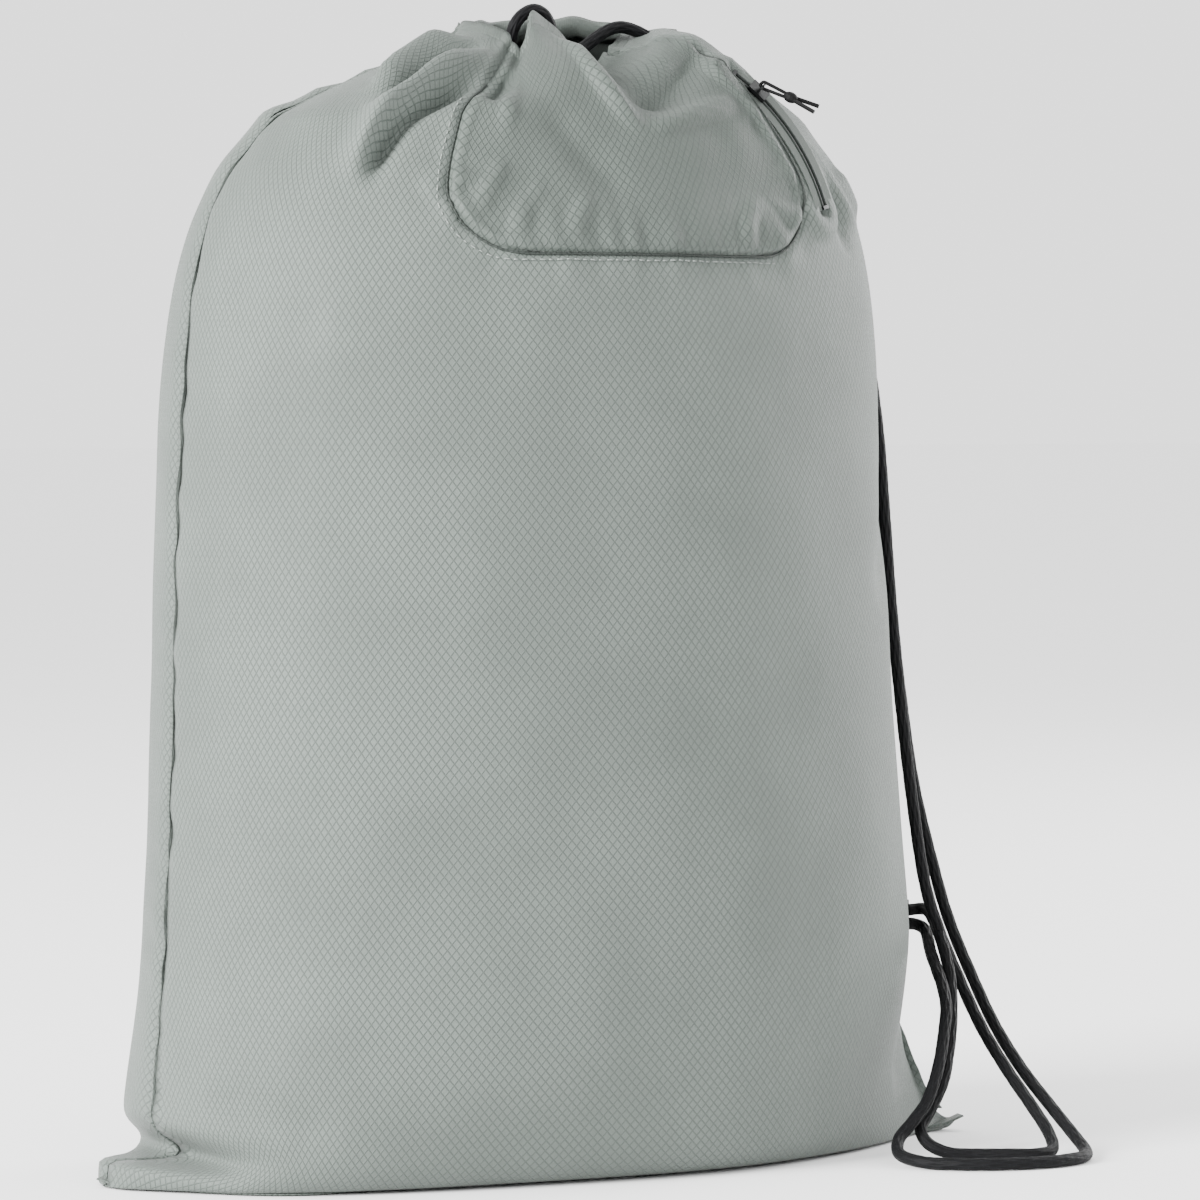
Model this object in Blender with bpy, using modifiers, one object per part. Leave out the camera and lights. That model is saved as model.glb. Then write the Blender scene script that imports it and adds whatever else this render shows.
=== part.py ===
"""Travel laundry bag: a filled drawcord sack with a zipped stow pocket.

Metres, +Z up, the front faces -Y and the origin is the centre of the base. Two
fabric panels meet in two side seams and a bottom seam, and gather at the top
into a channel that holds the drawcord. Both ends of the drawcord leave the
channel on the right and hang down as a doubled strap to a webbing tab. The
slider of the pocket's zip runs on an arc, so it turns about the arc's centre.
"""
import math

import bmesh
import bpy
import numpy as np
from mathutils import Matrix, Vector

OBJECT_NAME = "laundry_bag"

# Fabric and cord
PANEL_THICK = 0.0012
POCKET_THICK = 0.0010
POCKET_LIFT = 0.0006
SEAM_SLOT = 0.0012          # half the slot between the two panels
SEAM_WEB = 0.0016           # thickness of a seam allowance
CORD_RADIUS = 0.00275
GAP = 0.0003

# Sections from the base to the mouth: height, half width, half depth,
# centre x, centre y
SECTIONS = (
    (0.000, 0.188, 0.000, -0.002, 0.000),
    (0.000, 0.188, 0.045, -0.002, 0.000),
    (0.000, 0.188, 0.076, -0.002, 0.000),
    (0.004, 0.186, 0.088, -0.003, 0.000),
    (0.018, 0.184, 0.095, -0.005, 0.000),
    (0.050, 0.180, 0.101, -0.007, 0.000),
    (0.115, 0.175, 0.104, -0.008, 0.000),
    (0.200, 0.169, 0.104, -0.010, 0.000),
    (0.290, 0.165, 0.102, -0.012, 0.000),
    (0.350, 0.162, 0.097, -0.012, -0.001),
    (0.390, 0.156, 0.088, -0.012, -0.003),
    (0.420, 0.145, 0.076, -0.012, -0.006),
    (0.445, 0.125, 0.062, -0.012, -0.010),
    (0.460, 0.100, 0.050, -0.012, -0.014),
    (0.470, 0.072, 0.042, -0.012, -0.017),
    (0.4745, 0.053, 0.038, -0.012, -0.018),
)
ROUNDNESS = 0.9             # power on the cosine of a section
PANEL_EDGE = 0.996          # where a panel stops short of the seam, of 1
PANEL_COLUMNS = 18
PANEL_ROWS = 30

# Seam allowances: how far they stand out of and into the bag
SEAM_OUT = 0.0004
SEAM_IN = 0.006
BOTTOM_SEAM_HALF = 0.207
BOTTOM_SEAM_HEIGHT = 0.009
SIDE_SEAM_START = 4.2       # in sections, clear of the bottom seam
SIDE_SEAM_END = 14.6
SEAM_ROWS = 24

# Mouth ring and its channel
RING_CENTRE = (-0.012, -0.018, 0.4775)
RING_HALF_WIDTH = 0.045
RING_HALF_DEPTH = 0.030
PEAK_LIFT = 0.0085
PEAK_ANGLE = math.radians(-135.0)
CHANNEL_RADIUS = 0.0065
CHANNEL_THICK = 0.0012
CHANNEL_SPAN = (math.radians(24.0), math.radians(176.0))
CHANNEL_STEPS = 22
CHANNEL_SIDES = 10

# Stow pocket, placed on the front panel: across in -1 to 1, up in sections
POCKET_CENTRE = 0.03
POCKET_HALF = 0.395
POCKET_BOTTOM = 9.90
POCKET_TOP = 14.2
POCKET_CORNER = 0.9
POCKET_SQUARE = 0.62        # straight share of the bottom edge
POCKET_COLUMNS = 12
POCKET_ROWS = 14

# Zip: three points on the front panel that its arc passes through
ZIP_TOP = Vector((0.0610, -0.0468, 0.4630))
ZIP_MIDDLE = Vector((0.0845, -0.0585, 0.4345))
ZIP_BOTTOM = Vector((0.0955, -0.0635, 0.4070))
TAPE_HEIGHT = 0.0044        # middle of the tapes above the panel
TAPE_THICK = 0.0006
TAPE_NEAR = 0.0026
TAPE_FAR = 0.0076
COIL_RADIUS = 0.00075
COIL_OFFSET = 0.0015
ZIP_STEPS = 16
STOP_LENGTH = 0.0016
STOP_HEIGHT = 0.0022
COIL_SLOT_HALF = 0.0014
TAPE_SLOT_HALF = 0.0008
SLIDER_START = 0.0130       # along the arc from its top
SLIDER_END_GAP = 0.0075     # from the slider's last place to the arc's end
SLIDER_LENGTH = 0.0090
SLIDER_WIDTH = 0.0078
SLIDER_LOW = 0.0018
SLIDER_HIGH = 0.0070
POST_HALF_LENGTH = 0.0020
POST_HALF_WIDTH = 0.0004
BAIL_RADIUS = 0.00055
BAIL_HEIGHT = 0.0030
BAIL_HALF = 0.0023
PULL_LIFT = math.radians(22.0)
PULL_CORD = 0.00075
PULL_TURN = 0.00155
PULL_KNOT_AT = 0.0125
PULL_KNOT_RADIUS = 0.0026
PULL_TAIL_LENGTH = 0.0125
PULL_TAIL_SPREAD = math.radians(11.0)
PULL_TAIL_RADIUS = 0.0009
PULL_TURN_STEPS = 8

# The webbing tab on the right side seam
TAB_WIDTH = 0.014
TAB_THICK = 0.0012
TAB_REACH = 0.0115
TAB_HALF_GAP = 0.0030
TAB_HEIGHT = 0.097
TAB_STEPS = 10

# The drawcord in its channel: both ends turn out to the right
DRAWCORD_FRONT_END = ((0.0560, -0.0225, 0.4790), (0.0480, -0.0228, 0.4795), (0.0400, -0.0248, 0.4790))
DRAWCORD_BACK_END = ((0.0400, -0.0112, 0.4790), (0.0480, -0.0132, 0.4795), (0.0560, -0.0135, 0.4790))
DRAWCORD_SPAN = (math.radians(34.0), math.radians(326.0))
DRAWCORD_RING_POINTS = 22
DRAWCORD_SPACING = 0.006

# Each strap strand: over the right shoulder, down to the floor, back up to the tab
STRAP_OUTER = (
    (0.0574, -0.0135, 0.4787), (0.0660, -0.0120, 0.4765), (0.0790, -0.0040, 0.4680),
    (0.0930, 0.0030, 0.4605), (0.1085, 0.0095, 0.4505), (0.1255, 0.0140, 0.4330),
    (0.1400, 0.0150, 0.4100), (0.1490, 0.0120, 0.3840), (0.1540, 0.0030, 0.3540),
    (0.1568, -0.0085, 0.3150), (0.1595, -0.0138, 0.2755), (0.1632, -0.0150, 0.2360),
    (0.1680, -0.0160, 0.1960), (0.1745, -0.0168, 0.1560), (0.1850, -0.0180, 0.1165),
    (0.1910, -0.0205, 0.0950), (0.1960, -0.0290, 0.0740), (0.1985, -0.0450, 0.0520),
    (0.1995, -0.0660, 0.0340), (0.2020, -0.0860, 0.0190), (0.2030, -0.1030, 0.0080),
    (0.1990, -0.1180, 0.0032), (0.1890, -0.1300, 0.0029), (0.1750, -0.1360, 0.0029),
    (0.1600, -0.1370, 0.0029), (0.1440, -0.1335, 0.0029), (0.1300, -0.1260, 0.0029),
    (0.1195, -0.1140, 0.0030), (0.1160, -0.1000, 0.0050), (0.1215, -0.0900, 0.0100),
    (0.1300, -0.0870, 0.0165), (0.1390, -0.0840, 0.0240), (0.1460, -0.0800, 0.0335),
    (0.1520, -0.0750, 0.0430), (0.1575, -0.0690, 0.0525), (0.1630, -0.0620, 0.0620),
    (0.1675, -0.0520, 0.0700), (0.1712, -0.0410, 0.0770), (0.1757, -0.0290, 0.0832),
    (0.1808, -0.0185, 0.0880), (0.1840, -0.0100, 0.0913), (0.1845, -0.0035, 0.0922),
)
STRAP_INNER = (
    (0.0574, -0.0225, 0.4787), (0.0660, -0.0215, 0.4765), (0.0795, -0.0155, 0.4682),
    (0.0945, -0.0090, 0.4613), (0.1105, -0.0025, 0.4520), (0.1285, 0.0020, 0.4330),
    (0.1420, 0.0030, 0.4100), (0.1495, 0.0000, 0.3840), (0.1535, -0.0085, 0.3540),
    (0.1545, -0.0180, 0.3150), (0.1562, -0.0214, 0.2755), (0.1590, -0.0225, 0.2360),
    (0.1628, -0.0240, 0.1960), (0.1672, -0.0255, 0.1566), (0.1735, -0.0265, 0.1165),
    (0.1800, -0.0275, 0.0950), (0.1860, -0.0340, 0.0740), (0.1890, -0.0490, 0.0520),
    (0.1900, -0.0680, 0.0350), (0.1920, -0.0850, 0.0205), (0.1925, -0.0980, 0.0100),
    (0.1875, -0.1090, 0.0040), (0.1770, -0.1130, 0.0029), (0.1650, -0.1080, 0.0029),
    (0.1530, -0.1010, 0.0029), (0.1430, -0.0965, 0.0036), (0.1360, -0.0905, 0.0075),
    (0.1360, -0.0845, 0.0135), (0.1430, -0.0805, 0.0200), (0.1535, -0.0745, 0.0315),
    (0.1610, -0.0670, 0.0430), (0.1665, -0.0605, 0.0530), (0.1715, -0.0530, 0.0640),
    (0.1760, -0.0440, 0.0750), (0.1790, -0.0340, 0.0860), (0.1815, -0.0235, 0.0950),
    (0.1835, -0.0140, 0.1000), (0.1845, -0.0075, 0.1010), (0.1845, -0.0025, 0.1010),
)
STRAP_SPACING = 0.0118      # between the points of a strap's tube


def make_material(name, colour, roughness, metallic=0.0):
    """A plain Principled material."""
    material = bpy.data.materials.new(name)
    material.use_nodes = True
    shader = material.node_tree.nodes["Principled BSDF"]
    shader.inputs["Base Color"].default_value = (*colour, 1.0)
    shader.inputs["Roughness"].default_value = roughness
    shader.inputs["Metallic"].default_value = metallic
    return material


def catmull_rom(points, position):
    """The smooth curve through points, at a position counted in points."""
    count = len(points)
    index = min(int(position), count - 2)
    f = position - index
    a, b, c, d = (np.array(points[min(max(index + k, 0), count - 1)], dtype=float) for k in (-1, 0, 1, 2))
    bend = 2 * a - 5 * b + 4 * c - d
    twist = 3 * b - a - 3 * c + d
    return 0.5 * (2 * b + (c - a) * f + bend * f * f + twist * f ** 3)


def even_path(points, spacing):
    """Points about spacing apart along the smooth curve through points."""
    fine = np.array([catmull_rom(points, k / 24) for k in range(24 * (len(points) - 1) + 1)])
    along = np.concatenate(([0.0], np.cumsum(np.linalg.norm(np.diff(fine, axis=0), axis=1))))
    stops = np.linspace(0.0, along[-1], round(along[-1] / spacing) + 1)
    return [tuple(float(np.interp(stop, along, fine[:, axis])) for axis in range(3)) for stop in stops]


def bag_point(across, up, side):
    """A point of the bag: across in -1 to 1, up in sections, side -1 front or 1 back."""
    height, half_width, half_depth, centre_x, centre_y = catmull_rom(SECTIONS, up)
    angle = across * math.pi / 2
    depth = half_depth * abs(math.cos(angle)) ** ROUNDNESS + SEAM_SLOT
    return Vector((centre_x + half_width * math.sin(angle), centre_y + side * depth, max(height, 0.0)))


def bag_normal(across, up, side):
    """The outward normal of the bag at a point."""
    step = 0.01
    along_x = bag_point(across + step, up, side) - bag_point(across - step, up, side)
    along_z = bag_point(across, up + step, side) - bag_point(across, up - step, side)
    return along_x.cross(along_z).normalized() * -side


def link(obj, material, collection):
    """Give an object its material and put it in a collection."""
    obj.data.materials.clear()
    obj.data.materials.append(material)
    collection.objects.link(obj)
    return obj


def mesh_object(name, bm, material, collection):
    """Finish a bmesh as a named, smooth shaded object."""
    mesh = bpy.data.meshes.new(name)
    bm.to_mesh(mesh)
    bm.free()
    mesh.shade_smooth()
    mesh.set_sharp_from_angle(angle=math.radians(40))
    return link(bpy.data.objects.new(name, mesh), material, collection)


def grid_object(name, columns, rows, place, material, collection, flip=False):
    """A grid of columns by rows quads, with each corner put where place says."""
    bm = bmesh.new()
    bmesh.ops.create_grid(bm, x_segments=columns, y_segments=rows, size=1.0)
    for vert in bm.verts:
        vert.co = place(vert.co.x, (vert.co.y + 1) / 2)
    if flip:
        bmesh.ops.reverse_faces(bm, faces=bm.faces)
    return mesh_object(name, bm, material, collection)


def solidify(obj, thickness, offset):
    """Give a sheet its thickness: offset -1 inward, 0 both ways, 1 outward."""
    modifier = obj.modifiers.new("thickness", "SOLIDIFY")
    modifier.thickness = thickness
    modifier.offset = offset
    return obj


def tube_object(name, points, radius, material, collection, resolution=2):
    """A round tube along a poly line, with filled ends."""
    curve = bpy.data.curves.new(name, "CURVE")
    curve.dimensions = "3D"
    curve.bevel_depth = radius
    curve.bevel_resolution = resolution
    curve.use_fill_caps = True
    spline = curve.splines.new("POLY")
    spline.points.add(len(points) - 1)
    for place, point in zip(spline.points, points):
        place.co = (*point, 1.0)
    return link(bpy.data.objects.new(name, curve), material, collection)


def welded_mesh(obj, material, collection):
    """Turn a curve object into a mesh object with welded caps."""
    name = obj.name
    graph = bpy.context.evaluated_depsgraph_get()
    mesh = bpy.data.meshes.new_from_object(obj.evaluated_get(graph))
    bm = bmesh.new()
    bm.from_mesh(mesh)
    bmesh.ops.remove_doubles(bm, verts=bm.verts, dist=1e-6)
    bm.to_mesh(mesh)
    bm.free()
    place = obj.matrix_world.copy()
    bpy.data.objects.remove(obj)
    result = link(bpy.data.objects.new(name, mesh), material, collection)
    result.matrix_world = place
    return result


def boolean(obj, tool, operation):
    """Cut or join a tool, and hide the tool."""
    modifier = obj.modifiers.new(operation.lower(), "BOOLEAN")
    modifier.operation = operation
    modifier.solver = "EXACT"
    modifier.object = tool
    tool.hide_render = True
    tool.display_type = "WIRE"


def block(name, low, high, frame, material, collection):
    """A box between two corners of a local frame."""
    bm = bmesh.new()
    bmesh.ops.create_cube(bm, size=1.0)
    centre = (Vector(low) + Vector(high)) / 2
    size = Vector(high) - Vector(low)
    for vert in bm.verts:
        vert.co = centre + Vector(a * b for a, b in zip(vert.co, size))
    bm.transform(frame)
    return mesh_object(name, bm, material, collection)


class ZipTrack:
    """The arc that the zip follows, with a frame at each distance along it."""

    def __init__(self):
        chord_a = ZIP_MIDDLE - ZIP_TOP
        chord_b = ZIP_BOTTOM - ZIP_TOP
        axis = chord_a.cross(chord_b)
        to_centre = axis.cross(chord_a) * chord_b.length_squared
        to_centre += chord_b.cross(axis) * chord_a.length_squared
        self.centre = ZIP_TOP + to_centre / (2 * axis.length_squared)
        self.axis = axis.normalized()
        self.radius = (ZIP_TOP - self.centre).length
        self.start = (ZIP_TOP - self.centre).normalized()
        self.length = self.radius * self.start.angle(ZIP_BOTTOM - self.centre)
        out = bag_normal(0.5, 11.6, -1)
        outward, tangent = self.directions(self.length / 2)
        flat = (out - tangent * out.dot(tangent)).normalized()
        self.tilt = math.atan2(flat.dot(self.axis), flat.dot(outward))

    def directions(self, distance):
        """Away from the arc's centre, and along the arc downwards."""
        outward = Matrix.Rotation(distance / self.radius, 3, self.axis) @ self.start
        return outward, self.axis.cross(outward)

    def frame(self, distance):
        """Local x along the zip, y across it, z away from the bag."""
        outward, tangent = self.directions(distance)
        normal = outward * math.cos(self.tilt) + self.axis * math.sin(self.tilt)
        across = normal.cross(tangent)
        place = self.centre + outward * self.radius
        return Matrix((
            (tangent.x, across.x, normal.x, place.x),
            (tangent.y, across.y, normal.y, place.y),
            (tangent.z, across.z, normal.z, place.z),
            (0.0, 0.0, 0.0, 1.0),
        ))


def build_panels(material, parts):
    """The front and back panels: one sheet each from the base to the mouth."""
    top = len(SECTIONS) - 1
    for name, side in (("front_panel", -1), ("back_panel", 1)):
        panel = grid_object(
            name, PANEL_COLUMNS, PANEL_ROWS,
            lambda across, up, side=side: bag_point(across * PANEL_EDGE, up * top, side),
            material, parts, flip=side > 0,
        )
        solidify(panel, PANEL_THICK, -1)


def build_seams(material, parts):
    """The seam allowances, which stand in the slot between the panels."""
    for name, side in (("side_seam_left", -1), ("side_seam_right", 1)):
        def web_point(across, up, side=side):
            section = SIDE_SEAM_START + up * (SIDE_SEAM_END - SIDE_SEAM_START)
            height, half_width, _, centre_x, centre_y = catmull_rom(SECTIONS, section)
            reach = half_width + SEAM_OUT - (across + 1) / 2 * (SEAM_OUT + SEAM_IN)
            return Vector((centre_x + side * reach, centre_y, height))

        solidify(grid_object(name, 1, SEAM_ROWS, web_point, material, parts), SEAM_WEB, 0)
    block(
        "bottom_seam",
        (-BOTTOM_SEAM_HALF, -SEAM_WEB / 2, 0.0),
        (BOTTOM_SEAM_HALF, SEAM_WEB / 2, BOTTOM_SEAM_HEIGHT),
        Matrix.Identity(4), material, parts,
    )


def build_pocket(material, parts):
    """The stow pocket: a patch on the front panel with two round lower corners."""
    def pocket_point(across, up):
        section = POCKET_BOTTOM + up * (POCKET_TOP - POCKET_BOTTOM)
        rise = min((section - POCKET_BOTTOM) / POCKET_CORNER, 1.0)
        share = POCKET_SQUARE + (1 - POCKET_SQUARE) * math.sqrt(1 - (1 - rise) ** 2)
        place = POCKET_CENTRE + across * POCKET_HALF * share
        return bag_point(place, section, -1) + bag_normal(place, section, -1) * POCKET_LIFT

    pocket = grid_object("stow_pocket", POCKET_COLUMNS, POCKET_ROWS, pocket_point, material, parts)
    solidify(pocket, POCKET_THICK, 1)


def ring_point(angle):
    """The middle of the channel, at an angle from the right, front negative."""
    lift = max(math.cos(angle - PEAK_ANGLE), 0.0) ** 2 * PEAK_LIFT
    return Vector((
        RING_CENTRE[0] + RING_HALF_WIDTH * math.cos(angle),
        RING_CENTRE[1] + RING_HALF_DEPTH * math.sin(angle),
        RING_CENTRE[2] + lift,
    ))


def build_channels(material, parts):
    """The two halves of the drawcord channel, open at both ends."""
    low, high = CHANNEL_SPAN
    for name, side in (("front_channel", -1), ("back_channel", 1)):
        bm = bmesh.new()
        bmesh.ops.create_grid(bm, x_segments=CHANNEL_STEPS, y_segments=CHANNEL_SIDES, size=1.0)
        for vert in bm.verts:
            angle = side * (low + (vert.co.x + 1) / 2 * (high - low))
            around = vert.co.y * math.pi
            outward = Vector((
                RING_HALF_DEPTH * math.cos(angle), RING_HALF_WIDTH * math.sin(angle), 0.0,
            )).normalized()
            reach = outward * math.cos(around) + Vector((0.0, 0.0, 1.0)) * math.sin(around)
            vert.co = ring_point(angle) + reach * CHANNEL_RADIUS
        bmesh.ops.remove_doubles(bm, verts=bm.verts, dist=1e-6)
        if side < 0:
            bmesh.ops.reverse_faces(bm, faces=bm.faces)
        solidify(mesh_object(name, bm, material, parts), CHANNEL_THICK, -1)


def build_cords(material, parts):
    """The drawcord in its channel, and the two strands of the strap."""
    first, last = DRAWCORD_SPAN
    ring = []
    for k in range(DRAWCORD_RING_POINTS):
        angle = -(first + (last - first) * k / (DRAWCORD_RING_POINTS - 1))
        ring.append(tuple(ring_point(angle)))
    route = [*DRAWCORD_FRONT_END, *ring, *DRAWCORD_BACK_END]
    tube_object("drawcord", even_path(route, DRAWCORD_SPACING), CORD_RADIUS, material, parts)
    for name, points in (("strap_cord_outer", STRAP_OUTER), ("strap_cord_inner", STRAP_INNER)):
        tube_object(name, even_path(points, STRAP_SPACING), CORD_RADIUS, material, parts)


def seam_line(height):
    """The half width and centre x of the bag at a height."""
    heights = [section[0] for section in SECTIONS]
    half_width = float(np.interp(height, heights, [section[1] for section in SECTIONS]))
    centre_x = float(np.interp(height, heights, [section[3] for section in SECTIONS]))
    return half_width, centre_x


def build_tab(material, parts):
    """The folded webbing tab on the right side seam, which anchors the strap."""
    half_width, centre_x = seam_line(TAB_HEIGHT)
    root = centre_x + half_width + SEAM_OUT + 3 * GAP

    def tab_point(across, up):
        turn = (up - 0.5) * math.pi
        reach = TAB_REACH * max(math.cos(turn), 0.0) ** 0.5
        return Vector((
            root + reach,
            TAB_HALF_GAP * math.sin(turn),
            TAB_HEIGHT + across * TAB_WIDTH / 2,
        ))

    tab = grid_object("cord_tab_right", 1, TAB_STEPS, tab_point, material, parts)
    solidify(tab, TAB_THICK, 0)


def build_zip(track, materials, parts):
    """Tapes, coils and stops along the arc."""
    def band(name, near, far):
        def band_point(across, up):
            y = near + (far - near) * (across + 1) / 2
            return track.frame(up * track.length) @ Vector((0.0, y, TAPE_HEIGHT))

        solidify(grid_object(name, 1, ZIP_STEPS, band_point, materials["tape"], parts), TAPE_THICK, 0)

    band("zip_tape_pocket_side", -TAPE_FAR, -TAPE_NEAR)
    band("zip_tape_panel_side", TAPE_NEAR, TAPE_FAR)
    inset = STOP_LENGTH + GAP
    for name, side in (("zip_coil_pocket_side", -1), ("zip_coil_panel_side", 1)):
        points = []
        for k in range(ZIP_STEPS + 1):
            distance = inset + (track.length - 2 * inset) * k / ZIP_STEPS
            points.append(track.frame(distance) @ Vector((0.0, side * COIL_OFFSET, TAPE_HEIGHT)))
        tube_object(name, points, COIL_RADIUS, materials["coil"], parts)
    for name, start in (("zip_top_stop", 0.0), ("zip_bottom_stop", track.length - STOP_LENGTH)):
        block(
            name,
            (0.0, -TAPE_NEAR + GAP, TAPE_HEIGHT - STOP_HEIGHT / 2),
            (STOP_LENGTH, TAPE_NEAR - GAP, TAPE_HEIGHT + STOP_HEIGHT / 2),
            track.frame(start), materials["coil"], parts,
        )


def build_slider(track, materials, parts, cutters):
    """The zip slider, cut through for the coils and tapes, with its bail."""
    frame = track.frame(SLIDER_START)
    half = SLIDER_LENGTH / 2
    slider = block(
        "zip_slider", (-half, -SLIDER_WIDTH / 2, SLIDER_LOW), (half, SLIDER_WIDTH / 2, SLIDER_HIGH),
        frame, materials["metal"], parts,
    )
    for name, half_width, half_height in (
        ("cut_coil_slot", TAPE_NEAR, COIL_SLOT_HALF),
        ("cut_tape_slot", SLIDER_WIDTH, TAPE_SLOT_HALF),
    ):
        slot = block(
            name,
            (-SLIDER_LENGTH, -half_width, TAPE_HEIGHT - half_height),
            (SLIDER_LENGTH, half_width, TAPE_HEIGHT + half_height),
            frame, materials["metal"], cutters,
        )
        boolean(slider, slot, "DIFFERENCE")
    post = block(
        "join_post",
        (-POST_HALF_LENGTH, -POST_HALF_WIDTH, SLIDER_LOW + GAP),
        (POST_HALF_LENGTH, POST_HALF_WIDTH, SLIDER_HIGH - GAP),
        frame, materials["metal"], cutters,
    )
    boolean(slider, post, "UNION")
    foot = SLIDER_HIGH - GAP
    crown = SLIDER_HIGH + BAIL_HEIGHT
    corner = BAIL_RADIUS * 2
    half_arch = [
        (BAIL_HALF, foot), (BAIL_HALF, crown - corner), (BAIL_HALF - corner * 0.3, crown - corner * 0.3),
        (BAIL_HALF - corner, crown),
    ]
    arch = [(-y, z) for y, z in half_arch] + half_arch[::-1]
    bail = tube_object(
        "join_bail", [frame @ Vector((0.0, y, z)) for y, z in arch], BAIL_RADIUS, materials["metal"], cutters,
    )
    boolean(slider, welded_mesh(bail, materials["metal"], cutters), "UNION")


def build_pull(track, materials, parts, cutters):
    """The cord pull: a loop round the bail's crown, a knot and two tails."""
    crown = Matrix.Translation((0.0, 0.0, SLIDER_HIGH + BAIL_HEIGHT))
    local = track.frame(SLIDER_START) @ crown @ Matrix.Rotation(-PULL_LIFT, 4, "Y")
    bm = bmesh.new()
    bmesh.ops.create_uvsphere(bm, u_segments=14, v_segments=8, radius=PULL_KNOT_RADIUS)
    knot = Matrix.Translation((PULL_KNOT_AT, 0.0, 0.0)) @ Matrix.Diagonal((1.25, 1.0, 0.9, 1.0))
    bm.transform(local @ knot)
    pull = mesh_object("zip_pull", bm, materials["cord"], parts)

    loop = []
    for k in range(PULL_TURN_STEPS + 1):
        turn = math.pi / 2 + math.pi * k / PULL_TURN_STEPS
        loop.append((PULL_TURN * math.cos(turn), PULL_TURN * math.sin(turn)))
    legs = [(PULL_KNOT_AT * share, PULL_TURN * (1 - share / 2)) for share in (0.35, 0.7, 1.0)]
    outline = loop + [(x, -z) for x, z in legs] + legs[::-1]
    path = [local @ Vector((x, 0.0, z)) for x, z in outline]
    tube = tube_object("join_pull_loop", path, PULL_CORD, materials["cord"], cutters)
    tube.data.splines[0].use_cyclic_u = True
    boolean(pull, welded_mesh(tube, materials["cord"], cutters), "UNION")
    for name, side in (("join_tail_left", -1), ("join_tail_right", 1)):
        root = Vector((PULL_KNOT_AT, side * PULL_TAIL_RADIUS, 0.0))
        heading = Vector((math.cos(PULL_TAIL_SPREAD), side * math.sin(PULL_TAIL_SPREAD), 0.0))
        reach = heading * PULL_TAIL_LENGTH
        points = [local @ (root + reach * share) for share in (0.0, 0.5, 1.0)]
        tail = tube_object(name, points, PULL_TAIL_RADIUS, materials["cord"], cutters)
        boolean(pull, welded_mesh(tail, materials["cord"], cutters), "UNION")


def main():
    for obj in list(bpy.data.objects):
        bpy.data.objects.remove(obj, do_unlink=True)
    parts = bpy.data.collections.new(OBJECT_NAME)
    cutters = bpy.data.collections.new("cutters")
    for collection in (parts, cutters):
        bpy.context.scene.collection.children.link(collection)
    materials = {
        "fabric": make_material("ripstop_nylon", (0.33, 0.36, 0.34), 0.5),
        "webbing": make_material("webbing", (0.28, 0.31, 0.29), 0.7),
        "cord": make_material("black_cord", (0.015, 0.015, 0.017), 0.75),
        "tape": make_material("zip_tape", (0.27, 0.30, 0.28), 0.8),
        "coil": make_material("zip_coil", (0.05, 0.05, 0.05), 0.35),
        "metal": make_material("zip_slider", (0.06, 0.06, 0.065), 0.4, 0.8),
    }
    track = ZipTrack()
    build_panels(materials["fabric"], parts)
    build_seams(materials["fabric"], parts)
    build_pocket(materials["fabric"], parts)
    build_channels(materials["fabric"], parts)
    build_cords(materials["cord"], parts)
    build_tab(materials["webbing"], parts)
    build_zip(track, materials, parts)
    build_slider(track, materials, parts, cutters)
    build_pull(track, materials, parts, cutters)
    crown = track.frame(SLIDER_START) @ Vector((0.0, 0.0, SLIDER_HIGH + BAIL_HEIGHT))
    travel = (track.length - SLIDER_START - SLIDER_END_GAP) / track.radius
    print("zip axis", tuple(track.axis), "centre", tuple(track.centre), "radius", track.radius)
    print("zip travel in degrees", math.degrees(travel), "bail crown", tuple(crown))
    print("crown axis", tuple(track.frame(SLIDER_START).to_3x3() @ Vector((0.0, 1.0, 0.0))))


main()
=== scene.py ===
"""A filled drawstring laundry bag of ripstop nylon: front and back cloth gathered
at the mouth, a stow pocket with a short zip, welted side and bottom seams, and a
doubled shoulder cord that runs from the mouth to a webbing tab at the right seam.
Metres, +Z up, -Y is the front."""
import math

import bmesh
import bpy
import numpy as np
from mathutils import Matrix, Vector, noise


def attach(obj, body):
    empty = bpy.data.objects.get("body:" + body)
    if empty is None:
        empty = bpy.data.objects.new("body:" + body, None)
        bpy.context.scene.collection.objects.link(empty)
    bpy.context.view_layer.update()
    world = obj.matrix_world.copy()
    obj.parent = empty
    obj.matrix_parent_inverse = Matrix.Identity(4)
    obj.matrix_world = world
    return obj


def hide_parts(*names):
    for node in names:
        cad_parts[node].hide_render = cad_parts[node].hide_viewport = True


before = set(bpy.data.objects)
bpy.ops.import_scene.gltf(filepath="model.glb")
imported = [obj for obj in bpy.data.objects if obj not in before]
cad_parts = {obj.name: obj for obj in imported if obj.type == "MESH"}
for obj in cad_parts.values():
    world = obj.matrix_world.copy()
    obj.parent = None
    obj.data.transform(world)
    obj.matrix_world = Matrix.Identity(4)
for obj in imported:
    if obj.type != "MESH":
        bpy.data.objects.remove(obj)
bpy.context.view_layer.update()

# ---------------------------------------------------------------- dimensions
FLAT_WIDTH = 0.44              # the cloth before it is filled
CELL = 0.0022                  # edge of the cloth's mesh
CLOTH_THICK = 0.0004
FLOOR_CLEAR = 0.0009           # the cloth's lowest height over the floor
SEAM_SLOT = 0.0008             # half the gap between front and back at the seam
CORD_RADIUS = 0.00275
CORD_SKIN = CORD_RADIUS - 0.0001   # under the braid's relief
CORD_STEP = 0.0009             # between the rings of a cord's mesh
CORD_SIDES = 32
BRAID_TURN = 0.0125            # the length in which a strand goes once round
BRAID_STRANDS = 8
BRAID_RELIEF = 0.00013
CAMERA_AZIMUTH = math.radians(-29.0)
CAMERA_DISTANCE = 2.6
CAMERA_SIDESTEP = 0.0219
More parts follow.
